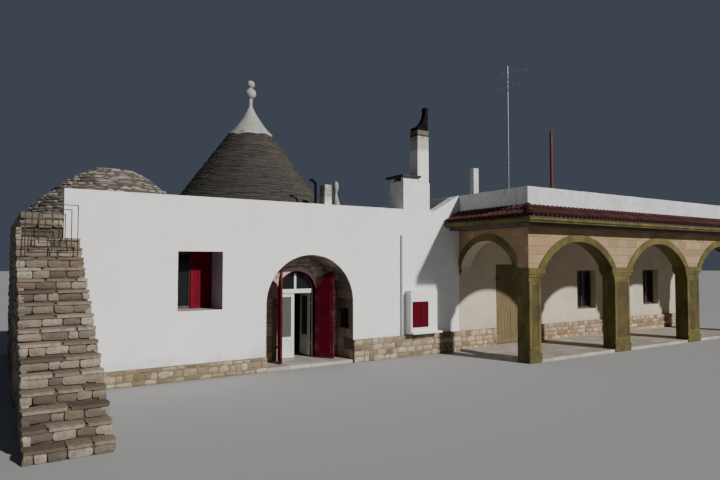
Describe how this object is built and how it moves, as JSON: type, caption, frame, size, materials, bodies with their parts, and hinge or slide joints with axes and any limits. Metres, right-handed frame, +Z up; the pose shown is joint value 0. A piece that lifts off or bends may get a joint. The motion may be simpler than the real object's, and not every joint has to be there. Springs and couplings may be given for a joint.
{
  "type": "trullo house",
  "caption": "Whitewashed stone house with a stone cone roof, a low dome, a chimney, a deep arched entrance and an arched portico wing.",
  "frame": {"origin": "on the ground, on the upright axis of the stone cone", "axes": "+X along the street front to the right as seen from the street, +Y back into the house, +Z up"},
  "size_m": [23.94, 10.925, 9.12],
  "materials": {
    "white_plaster": "limewashed masonry",
    "rubble_stone": "rough rubble limestone",
    "cone_stone": "weathered dry stone courses",
    "floor_stone": "worn stone slabs",
    "ashlar_stone": "pinkish stone blocks",
    "ochre_render": "ochre painted render",
    "roof_tile": "fired clay roof tiles",
    "dark_slab": "sooty stone slab",
    "dark_sheet_metal": "dark sheet metal",
    "red_steel": "dull red paint",
    "mast_aluminium": "weathered aluminium",
    "grey_pipe": "grey paint",
    "brown_wood": "brown stained wood",
    "red_wood": "crimson painted wood",
    "red_metal": "crimson painted sheet",
    "white_wood": "white painted wood",
    "wrought_iron": "dark painted iron",
    "window_glass": "clear glass"
  },
  "bodies": {
    "house": {"aerial_mast": "mast_aluminium", "arcade_wall_1": "ashlar_stone", "arcade_wall_2": "ashlar_stone", "arcade_wall_3": "ashlar_stone", "back_wall": "white_plaster", "chimney_block": "white_plaster", "chimney_cowl": "dark_sheet_metal", "chimney_slabs": "dark_slab", "chimney_stack": "white_plaster", "cone_cap": "white_plaster", "cupboard_door": "red_metal", "door_arch": "white_plaster", "eave_cornice": "ochre_render", "eave_tiles": "roof_tile", "entrance_arch": "white_plaster", "flue_stub": "white_plaster", "front_arch_bands": "ochre_render", "front_parapet": "white_plaster", "front_wall_left": "white_plaster", "front_wall_right": "white_plaster", "hinge_pins": "wrought_iron", "inner_door_frame": "white_wood", "left_end_wall": "rubble_stone", "low_dome": "rubble_stone", "main_floor": "floor_stone", "main_roof": "white_plaster", "party_wall": "white_plaster", "pinnacle": "white_plaster", "portico_pillars": "ochre_render", "roof_pipe": "red_steel", "roof_stair": "rubble_stone", "roof_vent": "dark_sheet_metal", "side_arch_bands": "ochre_render", "side_arch_walls": "ashlar_stone", "small_chimney": "white_plaster", "small_pinnacle": "white_plaster", "stair_railing": "wrought_iron", "stone_plinth": "rubble_stone", "trullo_cone": "cone_stone", "wall_cupboard": "white_plaster", "wall_pipe": "grey_pipe", "window_frames": "brown_wood", "window_panes": "window_glass", "window_shutter": "red_wood", "wing_back_wall": "white_plaster", "wing_end_wall": "white_plaster", "wing_floor": "floor_stone", "wing_front_wall_left": "white_plaster", "wing_front_wall_right": "white_plaster", "wing_parapet": "white_plaster", "wing_roof": "white_plaster"},
    "outer_door_left": {"outer_leaf_left": "red_wood"},
    "outer_door_right": {"outer_leaf_right": "red_wood"},
    "inner_door_left": {"inner_leaf_left": "white_wood", "inner_pane_left": "window_glass"},
    "inner_door_right": {"inner_leaf_right": "white_wood", "inner_pane_right": "window_glass"},
    "porch_door_left": {"porch_leaf_left": "brown_wood"},
    "porch_door_right": {"porch_leaf_right": "brown_wood"}
  },
  "joints": [
    {"name": "outer_left_swing", "type": "hinge", "parent": "house", "child": "outer_door_left", "pos_m": [-0.2, -2.42, 0], "axis": [0, 0, 1], "range_deg": [-13, 107]},
    {"name": "outer_right_swing", "type": "hinge", "parent": "house", "child": "outer_door_right", "pos_m": [0.95, -2.42, 0], "axis": [0, 0, 1], "range_deg": [-119, 3]},
    {"name": "inner_left_swing", "type": "hinge", "parent": "house", "child": "inner_door_left", "pos_m": [-0.15, -2.2, 0], "axis": [0, 0, 1], "range_deg": [0, 92]},
    {"name": "inner_right_swing", "type": "hinge", "parent": "house", "child": "inner_door_right", "pos_m": [0.9, -2.2, 0], "axis": [0, 0, 1], "range_deg": [-4, 88]},
    {"name": "porch_left_swing", "type": "hinge", "parent": "house", "child": "porch_door_left", "pos_m": [6.86, -3.27, 0], "axis": [0, 0, 1], "range_deg": [-105, 0]},
    {"name": "porch_right_swing", "type": "hinge", "parent": "house", "child": "porch_door_right", "pos_m": [8.06, -3.27, 0], "axis": [0, 0, 1], "range_deg": [0, 105]}
  ]
}
